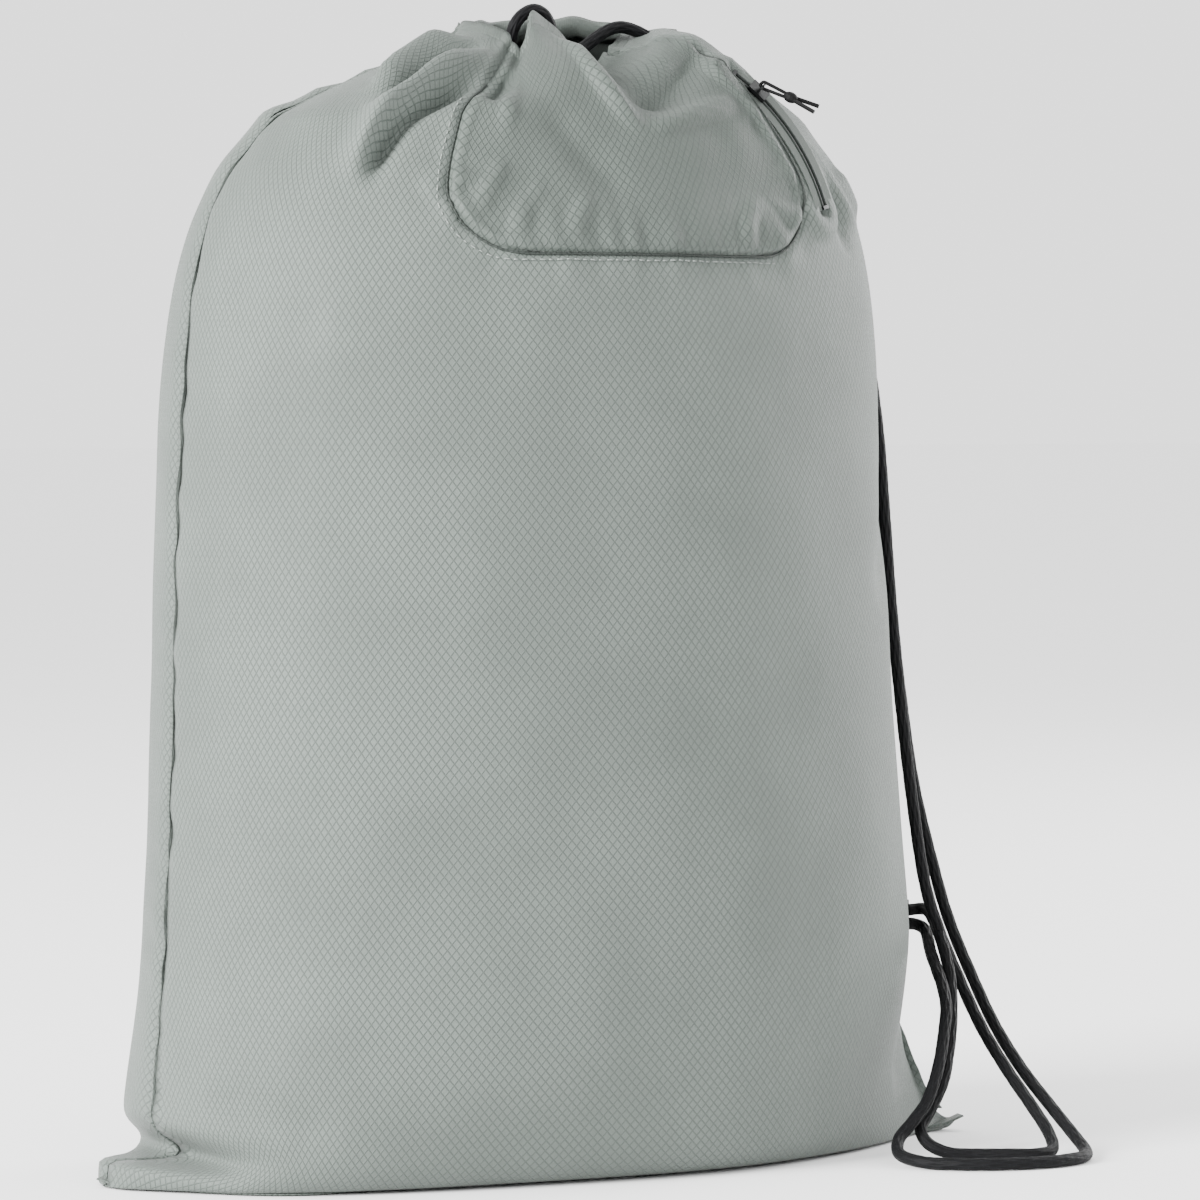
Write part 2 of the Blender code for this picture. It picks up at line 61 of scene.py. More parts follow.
CAMERA_HEIGHT = 0.33
CAMERA_PITCH = math.radians(1.970)
CAMERA_LENS = 181.4            # on a 36 mm sensor

# the bag's level sections: height, half width, half depth, centre x, centre y
SECTIONS = (
    (0.000, 0.191, 0.000, 0.000, 0.000),
    (0.000, 0.190, 0.045, 0.000, 0.000),
    (0.000, 0.188, 0.076, -0.002, 0.000),
    (0.004, 0.186, 0.088, -0.003, 0.000),
    (0.018, 0.184, 0.095, -0.005, 0.000),
    (0.050, 0.180, 0.101, -0.007, 0.000),
    (0.115, 0.175, 0.104, -0.008, 0.000),
    (0.200, 0.169, 0.104, -0.010, 0.000),
    (0.290, 0.165, 0.102, -0.012, 0.000),
    (0.350, 0.162, 0.097, -0.012, -0.001),
    (0.390, 0.156, 0.088, -0.012, -0.003),
    (0.420, 0.145, 0.076, -0.012, -0.006),
    (0.445, 0.125, 0.062, -0.012, -0.010),
)
LAST_SECTION = len(SECTIONS) - 1
RIM = LAST_SECTION + 2         # the mouth's rim, counted as sections
# above the last section the cloth is drawn in through a ring of pleats to its rim;
# each entry is the place across the cloth, from seam to seam, and the point there
FRONT_PLEATS = (
    (-1.00, (-0.066, -0.008, 0.4735)), (-0.78, (-0.069, -0.022, 0.4725)),
    (-0.55, (-0.066, -0.036, 0.4700)), (-0.40, (-0.060, -0.046, 0.4650)),
    (-0.25, (-0.0475, -0.0575, 0.4545)), (-0.17, (-0.040, -0.0585, 0.4600)),
    (-0.10, (-0.030, -0.0590, 0.4635)), (-0.03, (-0.018, -0.0600, 0.4640)),
    (0.03, (-0.007, -0.0610, 0.4620)), (0.09, (0.003, -0.0590, 0.4570)),
    (0.16, (0.012, -0.0540, 0.4570)), (0.30, (0.032, -0.0470, 0.4710)),
    (0.50, (0.050, -0.0350, 0.4815)), (0.75, (0.060, -0.0170, 0.4835)),
    (1.00, (0.058, 0.0040, 0.4810)),
)
FRONT_RIM = (
    (-1.00, (-0.046, -0.006, 0.4835)), (-0.78, (-0.0475, -0.014, 0.4845)),
    (-0.55, (-0.045, -0.026, 0.4835)), (-0.40, (-0.038, -0.032, 0.4800)),
    (-0.25, (-0.034, -0.037, 0.4725)), (-0.17, (-0.028, -0.034, 0.4845)),
    (-0.10, (-0.0250, -0.031, 0.4890)), (-0.03, (-0.0185, -0.029, 0.4860)),
    (0.03, (-0.010, -0.030, 0.4790)), (0.09, (-0.004, -0.032, 0.4680)),
    (0.16, (-0.001, -0.029, 0.4640)), (0.30, (0.008, -0.025, 0.4665)),
    (0.50, (0.021, -0.017, 0.4745)), (0.75, (0.034, -0.004, 0.4830)),
    (1.00, (0.040, 0.006, 0.4855)),
)
BACK_PLEATS = (
    (-1.00, (-0.066, -0.008, 0.4735)), (-0.75, (-0.058, 0.016, 0.4690)),
    (-0.50, (-0.045, 0.024, 0.4740)), (-0.25, (-0.026, 0.036, 0.4680)),
    (0.00, (-0.006, 0.036, 0.4730)), (0.25, (0.016, 0.037, 0.4690)),
    (0.50, (0.034, 0.028, 0.4760)), (0.75, (0.050, 0.020, 0.4750)),
    (1.00, (0.058, 0.004, 0.4810)),
)
BACK_RIM = (
    (-1.00, (-0.046, -0.006, 0.4835)), (-0.75, (-0.038, 0.006, 0.4840)),
    (-0.50, (-0.027, 0.011, 0.4865)), (-0.25, (-0.016, 0.018, 0.4860)),
    (0.00, (-0.004, 0.016, 0.4890)), (0.25, (0.008, 0.019, 0.4885)),
    (0.50, (0.020, 0.016, 0.4905)), (0.75, (0.031, 0.013, 0.4885)),
    (1.00, (0.040, 0.006, 0.4855)),
)

# the strap's two strands, from the mouth's right end to the tab
STRAP_OUTER = (
    (0.0574, -0.0135, 0.4787), (0.0660, -0.0120, 0.4765), (0.0790, -0.0040, 0.4680),
    (0.0930, 0.0030, 0.4605), (0.1085, 0.0095, 0.4505), (0.1255, 0.0140, 0.4330),
    (0.1400, 0.0150, 0.4100), (0.1490, 0.0120, 0.3840), (0.1540, 0.0030, 0.3540),
    (0.1568, -0.0085, 0.3150), (0.1595, -0.0138, 0.2755), (0.1632, -0.0150, 0.2360),
    (0.1680, -0.0160, 0.1960), (0.1745, -0.0168, 0.1560), (0.1850, -0.0180, 0.1165),
    (0.1910, -0.0205, 0.0950), (0.1960, -0.0290, 0.0740), (0.1985, -0.0450, 0.0520),
    (0.1995, -0.0660, 0.0340), (0.2020, -0.0860, 0.0190), (0.2030, -0.1030, 0.0080),
    (0.1990, -0.1180, 0.0032), (0.1890, -0.1300, 0.0029), (0.1750, -0.1360, 0.0029),
    (0.1600, -0.1370, 0.0029), (0.1440, -0.1335, 0.0029), (0.1300, -0.1260, 0.0029),
    (0.1195, -0.1140, 0.0030), (0.1160, -0.1000, 0.0050), (0.1215, -0.0900, 0.0100),
    (0.1300, -0.0870, 0.0165), (0.1390, -0.0840, 0.0240), (0.1460, -0.0800, 0.0335),
    (0.1520, -0.0750, 0.0430), (0.1575, -0.0690, 0.0525), (0.1630, -0.0620, 0.0620),
    (0.1675, -0.0520, 0.0700), (0.1712, -0.0410, 0.0770), (0.1757, -0.0290, 0.0832),
    (0.1808, -0.0185, 0.0880), (0.1838, -0.0115, 0.0912), (0.1832, -0.0082, 0.0928),
    (0.1808, -0.0067, 0.0937), (0.1770, -0.0066, 0.0940),
)
STRAP_INNER = (
    (0.0574, -0.0225, 0.4787), (0.0660, -0.0215, 0.4765), (0.0795, -0.0155, 0.4682),
    (0.0945, -0.0090, 0.4613), (0.1105, -0.0025, 0.4520), (0.1285, 0.0020, 0.4330),
    (0.1420, 0.0030, 0.4100), (0.1495, 0.0000, 0.3840), (0.1535, -0.0085, 0.3540),
    (0.1545, -0.0180, 0.3150), (0.1562, -0.0214, 0.2755), (0.1590, -0.0225, 0.2360),
    (0.1628, -0.0240, 0.1960), (0.1672, -0.0255, 0.1566), (0.1735, -0.0265, 0.1165),
    (0.1800, -0.0275, 0.0950), (0.1860, -0.0340, 0.0740), (0.1890, -0.0490, 0.0520),
    (0.1900, -0.0680, 0.0350), (0.1920, -0.0850, 0.0205), (0.1925, -0.0980, 0.0100),
    (0.1875, -0.1090, 0.0040), (0.1770, -0.1130, 0.0029), (0.1650, -0.1080, 0.0029),
    (0.1530, -0.1010, 0.0029), (0.1430, -0.0965, 0.0036), (0.1360, -0.0905, 0.0075),
    (0.1360, -0.0845, 0.0135), (0.1430, -0.0805, 0.0200), (0.1535, -0.0745, 0.0315),
    (0.1610, -0.0670, 0.0430), (0.1665, -0.0605, 0.0530), (0.1715, -0.0530, 0.0640),
    (0.1760, -0.0440, 0.0750), (0.1790, -0.0340, 0.0860), (0.1815, -0.0235, 0.0950),
    (0.1838, -0.0140, 0.0998), (0.1836, -0.0088, 0.1005), (0.1810, -0.0067, 0.1002),
    (0.1770, -0.0066, 0.1000),
)

# the corners on the floor: how far each stands out and how high it is lifted
LEFT_FLAP_OUT = 0.0190
LEFT_FLAP_LIFT = 0.0085
LEFT_ROUND_IN = 0.014          # how far the side is drawn in over the left flap
LEFT_ROUND_HEIGHT = 0.0125
LEFT_ROUND_REACH = 0.008
RIGHT_FLARE_OUT = 0.0165
RIGHT_FLARE_LIFT = 0.0045
RIGHT_FLARE_HEIGHT = 0.022
EAR_FLATTENING = 0.35


# ---------------------------------------------------------------- mathematics
def catmull_rom(rows, at):
    """Smooth values through the rows at each place in at, counted in rows."""
    rows = np.asarray(rows, float)
    last = len(rows) - 1
    at = np.clip(np.asarray(at, float), 0, last)
    index = np.minimum(np.floor(at).astype(int), last - 1)
    part = (at - index)[..., None]
    before = rows[np.maximum(index - 1, 0)]
    first = rows[index]
    second = rows[index + 1]
    after = rows[np.minimum(index + 2, last)]
    return 0.5 * (2 * first + (second - before) * part
                  + (2 * before - 5 * first + 4 * second - after) * part ** 2
                  + (3 * first - before - 3 * second + after) * part ** 3)


def even_path(points, step):
    """Points an even distance apart along the smooth curve through points."""
    fine = catmull_rom(points, np.linspace(0, len(points) - 1, 40 * len(points)))
    run = np.concatenate([[0], np.cumsum(np.linalg.norm(np.diff(fine, axis=0), axis=1))])
    count = max(2, int(round(run[-1] / step)) + 1)
    wanted = np.linspace(0, run[-1], count)
    return np.stack([np.interp(wanted, run, fine[:, k]) for k in range(3)], axis=1)


def smooth(low, high, value):
    """0 below low, 1 above high, and a smooth step between them."""
    part = np.clip((value - low) / (high - low), 0, 1)
    return part * part * (3 - 2 * part)


def keyed_curve(keys, across):
    """Points of a curve given as (place across, point), at each place across."""
    places = np.array([key[0] for key in keys])
    points = np.array([key[1] for key in keys])
    return catmull_rom(points, np.interp(across, places, np.arange(len(places))))


def cloud(points, size, seed):
    """Smooth noise from -1 to 1 at each point, with features of about that size."""
    shift = Vector((seed * 7.31, seed * 3.17, seed * 5.93))
    flat = np.asarray(points).reshape(-1, 3) / size
    values = [noise.noise(Vector(p) + shift) for p in flat]
    return np.array(values).reshape(np.asarray(points).shape[:-1])


# ---------------------------------------------------------------- the bag's form
def base_form(across, up, side):
    """The bag below its pleats: across runs -1 to 1 from the left seam to the
    right one, up counts the sections, side is -1 for the front, 1 for the back."""
    height, half_w, half_d, centre_x, centre_y = np.moveaxis(catmull_rom(SECTIONS, up), -1, 0)
    height = np.maximum(height, 0)
    angle = across * math.pi / 2
    low = 1 - smooth(0.0, 0.10, height)
    power = 0.9 + low * np.where(across < 0, -0.35, 0.75) * smooth(0, 0.35, np.abs(across))
    depth = np.maximum(half_d, 0) * np.abs(np.cos(angle)) ** power + SEAM_SLOT
    outer = np.abs(across)
    left = across < 0
    # the right corner flares, the left one is a flat flap under a rounded side
    flare = smooth(0.70, 1.0, outer) * np.exp(-height / RIGHT_FLARE_HEIGHT)
    flap = smooth(0.72, 1.0, outer) * (1 - smooth(2.7, 3.7, up))
    ear = np.where(left, flap, flare)
    waist = np.exp(-((height - LEFT_ROUND_HEIGHT) / LEFT_ROUND_REACH) ** 2)
    round_in = np.where(left, LEFT_ROUND_IN * smooth(0.5, 1.0, outer) * waist, 0)
    stand_out = np.sign(across) * np.where(left, LEFT_FLAP_OUT, RIGHT_FLARE_OUT) * ear
    x = centre_x + half_w * np.sin(angle) + stand_out + round_in * (1 - flap)
    y = centre_y + side * depth * (1 - EAR_FLATTENING * ear)
    lift = np.where(left, LEFT_FLAP_LIFT * flap * smooth(1.6, 3.2, up),
                    RIGHT_FLARE_LIFT * flare * smooth(0.9, 1.0, outer))
    z = height + lift + FLOOR_CLEAR
    return np.stack([x, y, z], axis=-1)


def form(across, up, side):
    """The whole smooth cloth: the base form and, over two more steps of up, the
    run through the pleats to the rim."""
    pleats, rim = (FRONT_PLEATS, FRONT_RIM) if side < 0 else (BACK_PLEATS, BACK_RIM)
    at = np.clip(up, 0, LAST_SECTION)
    below = base_form(across, at, side)
    rings = [base_form(across, np.full_like(across, LAST_SECTION - 1.0), side),
             base_form(across, np.full_like(across, float(LAST_SECTION)), side),
             keyed_curve(pleats, across), keyed_curve(rim, across)]
    rings.append(2 * rings[3] - rings[2])
    part = np.clip(up - LAST_SECTION, 0, 2)[..., None]
    first = part < 1
    local = np.where(first, part, part - 1)
    before, begin = np.where(first, rings[0], rings[1]), np.where(first, rings[1], rings[2])
    end, after = np.where(first, rings[2], rings[3]), np.where(first, rings[3], rings[4])
    above = 0.5 * (2 * begin + (end - before) * local
                   + (2 * before - 5 * begin + 4 * end - after) * local ** 2
                   + (3 * begin - before - 3 * end + after) * local ** 3)
    return np.where(up[..., None] <= LAST_SECTION, below, above)


def normals_of(points, side):
    """Outward unit normals of a grid of points."""
    along_up = np.gradient(points, axis=0)
    along_across = np.gradient(points, axis=1)
    cross = np.cross(along_across, along_up) * (1 if side < 0 else -1)
    length = np.linalg.norm(cross, axis=-1, keepdims=True)
    return cross / np.maximum(length, 1e-12)


# folds of the front: the line as (across, up), the height, below 0 for a crease, and
# the half width
FRONT_FOLDS = (
    # two rolled folds that run from the mouth down over the left shoulder
    (((-0.54, 13.7), (-0.70, 13.0), (-0.69, 12.6), (-0.63, 12.2)), 0.0105, 0.0058),
    (((-0.45, 13.7), (-0.55, 12.7), (-0.56, 12.3), (-0.57, 12.0)), -0.0105, 0.0036),
    (((-0.39, 13.7), (-0.49, 12.7), (-0.525, 12.1), (-0.56, 11.3), (-0.55, 10.8)), 0.0115, 0.0064),
    (((-0.35, 13.0), (-0.40, 12.6), (-0.475, 12.0), (-0.505, 11.4), (-0.52, 10.7)), -0.0125, 0.0042),
    # the peak: a straight edge on its left, a bright ridge on its right
    (((-0.20, 13.9), (-0.243, 13.0), (-0.24, 12.2), (-0.23, 11.4)), 0.0024, 0.0030),
    (((-0.29, 13.5), (-0.30, 12.9), (-0.30, 12.2)), -0.0040, 0.0050),
    (((-0.03, 13.9), (-0.003, 13.5), (0.000, 13.0), (0.03, 12.2), (0.09, 11.5)), 0.0042, 0.0032),
    (((0.06, 11.75), (0.13, 11.75), (0.21, 11.95), (0.34, 12.15), (0.44, 12.3)), 0.0034, 0.0034),
    (((0.06, 13.2), (0.12, 12.6), (0.22, 12.6), (0.36, 12.75), (0.50, 12.9)), -0.0068, 0.0085),
    (((-0.16, 12.6), (-0.12, 11.8), (-0.03, 11.0), (0.03, 10.4)), -0.0030, 0.0090),
    # the right shoulder, beside the zip
    (((0.56, 12.0), (0.60, 11.2), (0.66, 10.5), (0.75, 10.3)), 0.0034, 0.0046),
    (((0.70, 11.2), (0.76, 10.8), (0.82, 10.4)), 0.0030, 0.0050),
    (((0.56, 10.9), (0.60, 10.3), (0.60, 9.9)), -0.0030, 0.0050),
    # slack at the lower left of the pocket and along its foot
    (((-0.40, 11.0), (-0.36, 10.6), (-0.31, 10.3)), 0.0016, 0.0035),
    (((-0.22, 10.1), (-0.19, 10.5), (-0.15, 10.9)), 0.0016, 0.0034),
    (((-0.12, 10.0), (-0.09, 10.4), (-0.06, 10.7)), 0.0018, 0.0032),
    (((-0.29, 10.4), (-0.26, 10.8), (-0.23, 11.2)), 0.0020, 0.0030),
    (((0.24, 10.0), (0.27, 10.35), (0.31, 10.7)), 0.0015, 0.0035),
    # soft dents lower down
    (((-0.90, 9.6), (-0.72, 9.2), (-0.55, 9.1)), -0.0022, 0.0110),
    (((0.86, 8.2), (0.74, 7.7), (0.60, 7.4)), -0.0022, 0.0120),
    (((-0.86, 4.9), (-0.70, 4.5), (-0.50, 4.3)), -0.0026, 0.0100),
    (((0.92, 5.4), (0.80, 4.8), (0.66, 4.4)), -0.0028, 0.0100),
)
# the line of the pocket's zip, and how the cloth rises beside it to carry the tapes
ZIP_LINE = ((0.0610, -0.0468, 0.4630), (0.0845, -0.0585, 0.4345), (0.0955, -0.0635, 0.4070))
ZIP_BED = 0.0036
ZIP_SLOT = 0.0009
ZIP_STEP = 0.002

# the pocket's outline, across and up
POCKET_CENTRE = 0.052
POCKET_HALF = 0.395
POCKET_LOW = 9.90
POCKET_HIGH = 13.96
POCKET_CORNER_ACROSS = 0.16
POCKET_CORNER_UP = 0.95
POCKET_SIDE_POINTS = 60        # along the outline's sides, corners and foot
POCKET_CORNER_POINTS = 40
POCKET_FOOT_POINTS = 120


def pocket_edge(grow=0.0):
    """The pocket's U outline as (across, up), grown by a part of its half width."""
    half = POCKET_HALF + grow
    low = POCKET_LOW - 4.0 * grow
    steps = np.linspace(0, math.pi / 2, POCKET_CORNER_POINTS)
    side_up = np.linspace(POCKET_HIGH, low + POCKET_CORNER_UP, POCKET_SIDE_POINTS)
    side_across = np.full(POCKET_SIDE_POINTS, half)
    round_across = -half + POCKET_CORNER_ACROSS * (1 - np.cos(steps))
    round_up = low + POCKET_CORNER_UP * (1 - np.sin(steps))
    foot = np.linspace(-half + POCKET_CORNER_ACROSS, half - POCKET_CORNER_ACROSS, POCKET_FOOT_POINTS)[1:-1]
    across = np.concatenate([-side_across, round_across[1:], foot, -round_across[::-1], side_across[1:]])
    up = np.concatenate([side_up, round_up[1:], np.full_like(foot, low), round_up[::-1],
                         side_up[::-1][1:]])
    return across + POCKET_CENTRE, up


def nearest_on(points, line, step=0.003):
    """Each point's distance to a line of points, and how far along it that is."""
    line = even_path(line, step)
    flat = points.reshape(-1, 3)
    near = ((flat > line.min(axis=0) - 0.05) & (flat < line.max(axis=0) + 0.05)).all(axis=1)
    distance = np.full(len(flat), 1.0)
    along = np.zeros(len(flat))
    chosen = np.nonzero(near)[0]
    if len(chosen):
        begin, end = line[:-1], line[1:]
        span = end - begin
        gap = flat[chosen][:, None, :] - begin[None]
        part = np.clip(np.einsum("ijk,jk->ij", gap, span) / np.einsum("jk,jk->j", span, span), 0, 1)
        reach = np.linalg.norm(gap - part[..., None] * span[None], axis=-1)
        best = reach.argmin(axis=1)
        row = np.arange(len(chosen))
        distance[chosen] = reach[row, best]
        along[chosen] = (best + part[row, best]) * step
    return distance.reshape(points.shape[:-1]), along.reshape(points.shape[:-1]), (len(line) - 1) * step


def fold_offset(points, line, height, width):
    """How far a fold along a line of points moves each point along its normal."""
    distance, along, length = nearest_on(points, line)
    taper = smooth(0, 0.3 * length, along) * smooth(0, 0.3 * length, length - along)
    return taper * height * np.exp(-(distance / width) ** 2)


def ripple(along, size, seed):
    """Noise along a line, from about -1 to 1."""
    places = np.arange(4000) * 0.25
    table = np.array([noise.noise(Vector((place, seed * 3.7, 0.5))) for place in places.tolist()])
    return 1.8 * np.interp(along / size, places, table)


def cloth_grid(side):
    """The finished points of one side's cloth and its flat coordinates."""
    columns = int(FLAT_WIDTH / CELL)
    across_line = np.linspace(-1, 1, columns + 1)
    up_fine = np.linspace(0, RIM, 1200)
    middle = form(np.zeros_like(up_fine), up_fine, side)
    run = np.concatenate([[0], np.cumsum(np.linalg.norm(np.diff(middle, axis=0), axis=1))])
    rows = int(run[-1] / CELL)
    up_line = np.interp(np.linspace(0, run[-1], rows + 1), run, up_fine)
    across, up = np.meshgrid(across_line, up_line)
    points = form(across, up, side)
    normal = normals_of(points, side)
    height = points[..., 2]
    free = smooth(0.004, 0.03, height)
    move = 0.0013 * cloud(points, 0.095, 1 + side) * free
    move += 0.0005 * cloud(points * (1.0, 1.0, 0.6), 0.030, 4 + side) * free
    shoulder = smooth(0.38, 0.44, height)
    move += 0.0010 * cloud(points * (1.0, 1.0, 0.8), 0.018, 6 + side) * shoulder
    # the seams draw the cloth in
    edge = (1 - np.abs(across)) * FLAT_WIDTH / 2
    move -= 0.0018 * np.exp(-(edge / 0.0035) ** 2) * smooth(0.02, 0.06, height)
    ruffle = np.exp(-(edge / 0.022) ** 2) * free
    move += 0.0014 * ruffle * cloud(points * (0.3, 0.3, 1.0), 0.011, 9 + side)
    if side < 0:
        for line, *sizes in FRONT_FOLDS:
            keys = np.array(line)
            path = form(keys[:, 0], keys[:, 1], side)
            move += fold_offset(points, path, *sizes)
        # the pocket's seam: a groove, a low ridge beside it, and the puckers it makes
        seam = form(*pocket_edge(), side)
        distance, along, _ = nearest_on(points, seam)
        move -= 0.0015 * np.exp(-(distance / 0.0014) ** 2)
        move += 0.0007 * np.exp(-((distance - 0.0032) / 0.0018) ** 2)
        away = 1 - np.exp(-(distance / 0.0025) ** 2)
        move += 0.0013 * ripple(along, 0.0075, 5) * np.exp(-(distance / 0.010) ** 2) * away
        # the bed of the zip takes the place of any fold there
        distance, _, _ = nearest_on(points, np.array(ZIP_LINE), ZIP_STEP)
        bed = ZIP_SLOT + (ZIP_BED - ZIP_SLOT) * smooth(0.0034, 0.0046, distance)
        part = 1 - smooth(0.0088, 0.0150, distance)
        move = move * (1 - part) + bed * part
    else:
        top = smooth(0.41, 0.46, height)
        move += 0.0022 * top * cloud(points * (1, 1, 0.25), 0.014, 13)
    points = points + normal * move[..., None]
    points[..., 2] = np.maximum(points[..., 2], FLOOR_CLEAR)
    lengths = np.linalg.norm(np.diff(points, axis=0), axis=-1)
    climbed = np.concatenate([np.zeros((1, columns + 1)), np.cumsum(lengths, axis=0)])
    anchor = np.argmin(np.abs(up_line - 7.0))
    flat_v = climbed - climbed[anchor] + climbed[anchor, columns // 2]
    flat_u = across * FLAT_WIDTH / 2
    return points, np.stack([flat_u, flat_v], axis=-1), across_line, up_line


def press_under(points, normal, paths, radius):
    """Push cloth points in along their normals where a cord lies on them."""
    flat = points.reshape(-1, 3)
    outward = normal.reshape(-1, 3)
    reach = radius + 0.0045
    for path in paths:
        coarse = path[::3]
        near_box = ((flat > path.min(axis=0) - 0.02) & (flat < path.max(axis=0) + 0.02)).all(axis=1)
        chosen = np.nonzero(near_box)[0]
        gaps = np.linalg.norm(flat[chosen][:, None, :] - coarse[None], axis=-1)
        gap = gaps.min(axis=1)
        away = flat[chosen] - coarse[gaps.argmin(axis=1)]
        inward = np.einsum("ij,ij->i", away, outward[chosen])
        flatwise = np.sqrt(np.maximum(gap ** 2 - inward ** 2, 0))
        underside = np.sqrt(np.maximum(radius ** 2 - np.minimum(flatwise, radius) ** 2, 0))
        ceiling = 0.9 * np.maximum(flatwise - radius, 0) - underside - CLOTH_THICK
        ceiling = np.where(flatwise < reach, ceiling, 1.0)
        push = np.where(gap < 0.012, np.minimum(ceiling - inward, 0), 0)
        flat[chosen] += outward[chosen] * push[:, None]
    return flat.reshape(points.shape)


# ---------------------------------------------------------------- mesh helpers
def add_object(name, mesh, material):
    """A smooth-shaded object of one material."""
    obj = bpy.data.objects.new(name, mesh)
    bpy.context.scene.collection.objects.link(obj)
    mesh.materials.append(material)
    mesh.polygons.foreach_set("use_smooth", [True] * len(mesh.polygons))
    return obj


def grid_object(name, points, flat, material, closed=False, flip=False):
    """A sheet of quads from a grid of points, with its flat coordinates as UVs."""
    rows, columns = points.shape[:2]
    index = np.arange(rows * columns).reshape(rows, columns)
    if closed:
        index = np.concatenate([index, index[:, :1]], axis=1)
    quads = np.stack([index[:-1, :-1], index[:-1, 1:], index[1:, 1:], index[1:, :-1]], axis=-1)
    quads = quads.reshape(-1, 4)
    if flip:
        quads = quads[:, ::-1]
    mesh = bpy.data.meshes.new(name)
    mesh.from_pydata(points.reshape(-1, 3).tolist(), [], quads.tolist())
    if flat is not None:
        layer = mesh.uv_layers.new(name="cloth")
        if closed:
            flat = np.concatenate([flat, flat[:, :1] + (flat[:, 1:2] - flat[:, :1]) * columns], axis=1)
        place = np.arange(flat.shape[0] * flat.shape[1]).reshape(flat.shape[:2])
        corners = np.stack([place[:-1, :-1], place[:-1, 1:], place[1:, 1:], place[1:, :-1]], axis=-1)
        corners = corners.reshape(-1, 4)
        if flip:
            corners = corners[:, ::-1]
        layer.data.foreach_set("uv", flat.reshape(-1, 2)[corners.ravel()].ravel().astype(np.float32))
    mesh.update()
    return add_object(name, mesh, material)


def thicken(obj, thickness, offset=-1.0):
    """Give a sheet its thickness: offset -1 is all inward, 0 half to each side."""
    modifier = obj.modifiers.new("thickness", "SOLIDIFY")
    modifier.thickness = thickness
    modifier.offset = offset
    return obj


def tube_points(path, radius, sides, relief=None):
    """Rings of points round a path, with a frame that doesn't twist."""
    path = np.asarray(path)
    tangent = np.gradient(path, axis=0)
    tangent /= np.linalg.norm(tangent, axis=1, keepdims=True)
    normal = np.zeros_like(path)
    start = np.cross(tangent[0], (0.3, 0.2, 1.0))
    normal[0] = start / np.linalg.norm(start)
    for k in range(1, len(path)):
        carried = normal[k - 1] - tangent[k] * np.dot(normal[k - 1], tangent[k])
        normal[k] = carried / np.linalg.norm(carried)
    binormal = np.cross(tangent, normal)
    angle = np.linspace(0, 2 * math.pi, sides, endpoint=False)
    run = np.concatenate([[0], np.cumsum(np.linalg.norm(np.diff(path, axis=0), axis=1))])
    radii = np.broadcast_to(np.asarray(radius, float).reshape(-1, 1), (len(path), sides)).copy()
    if relief is not None:
        radii += relief(run[:, None], angle[None, :])
    ring = (np.cos(angle)[None, :, None] * normal[:, None, :]
            + np.sin(angle)[None, :, None] * binormal[:, None, :])
    points = path[:, None, :] + radii[..., None] * ring
    flat = np.stack(np.broadcast_arrays(angle[None, :] * np.mean(radii), run[:, None]), axis=-1)
    return points, flat


def tube_object(name, path, radius, material, sides=16, relief=None):
    """A closed tube along a path, with flat ends."""
    points, flat = tube_points(path, radius, sides, relief)
    obj = grid_object(name, points, flat, material, closed=True)
    build = bmesh.new()
    build.from_mesh(obj.data)
    build.verts.ensure_lookup_table()
    for begin, outward in ((0, -1), ((len(path) - 1) * sides, 1)):
        ring = [build.verts[begin + k] for k in range(sides)]
        build.faces.new(ring if outward > 0 else ring[::-1])
    bmesh.ops.recalc_face_normals(build, faces=build.faces)
    build.to_mesh(obj.data)
    build.free()
    return obj


def braid(run, angle):
    """The relief of a braided cord: two sets of strands that cross."""
    turns = 2 * math.pi / BRAID_TURN
    one = np.cos(BRAID_STRANDS * angle + turns * run)
    two = np.cos(BRAID_STRANDS * angle - turns * run)
    return BRAID_RELIEF * (np.maximum(one, two) - 0.5)


